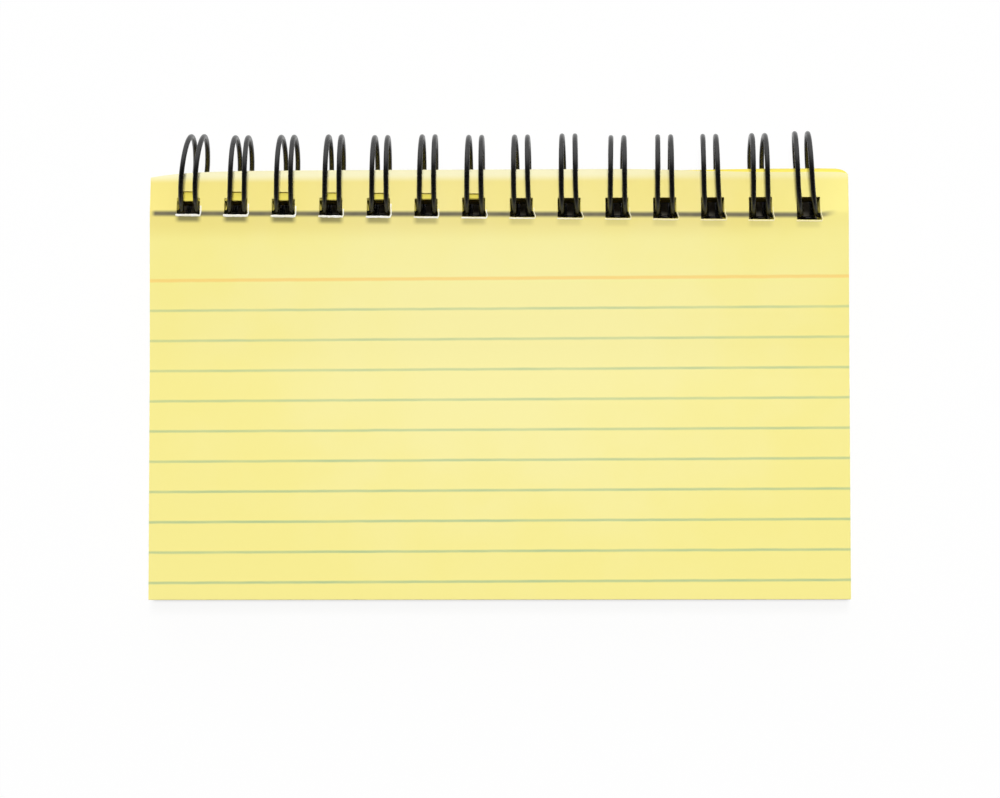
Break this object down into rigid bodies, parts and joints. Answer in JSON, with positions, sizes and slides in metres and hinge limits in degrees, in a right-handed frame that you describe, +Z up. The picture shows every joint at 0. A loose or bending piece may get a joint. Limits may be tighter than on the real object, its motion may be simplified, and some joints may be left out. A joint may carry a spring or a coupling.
{
  "type": "spiral-bound index card pad",
  "caption": "Pad of ruled yellow index cards bound along the top edge by a black twin-loop wire comb, with a front card that turns over the loops and a chipboard back cover.",
  "frame": {"origin": "on the table under the middle of the pad's box", "axes": "+X along the wire, +Y from the cards' lower edge to the loops, +Z up from the table, with the cards' face upwards"},
  "size_m": [0.124, 0.0828, 0.0155],
  "materials": {
    "coated_wire": "black satin nylon coat on steel wire",
    "card_stock": "matt yellow card, cut edges",
    "ruled_card": "matt yellow card with faint ruled lines",
    "chipboard": "plain grey-brown pressed board"
  },
  "bodies": {
    "bound_pad": {"wire_comb": "coated_wire", "card_block": "card_stock"},
    "turning_card": {"front_card": "ruled_card"},
    "turning_cover": {"back_cover": "chipboard"}
  },
  "joints": [
    {"name": "card_turn", "type": "hinge", "parent": "bound_pad", "child": "turning_card", "pos_m": [0, 0.03462, 0.00778], "axis": [-1, 0, 0], "range_deg": [0, 175]},
    {"name": "cover_turn", "type": "hinge", "parent": "bound_pad", "child": "turning_cover", "pos_m": [0, 0.03367, 0.00775], "axis": [1, 0, 0], "range_deg": [0, 180]}
  ]
}
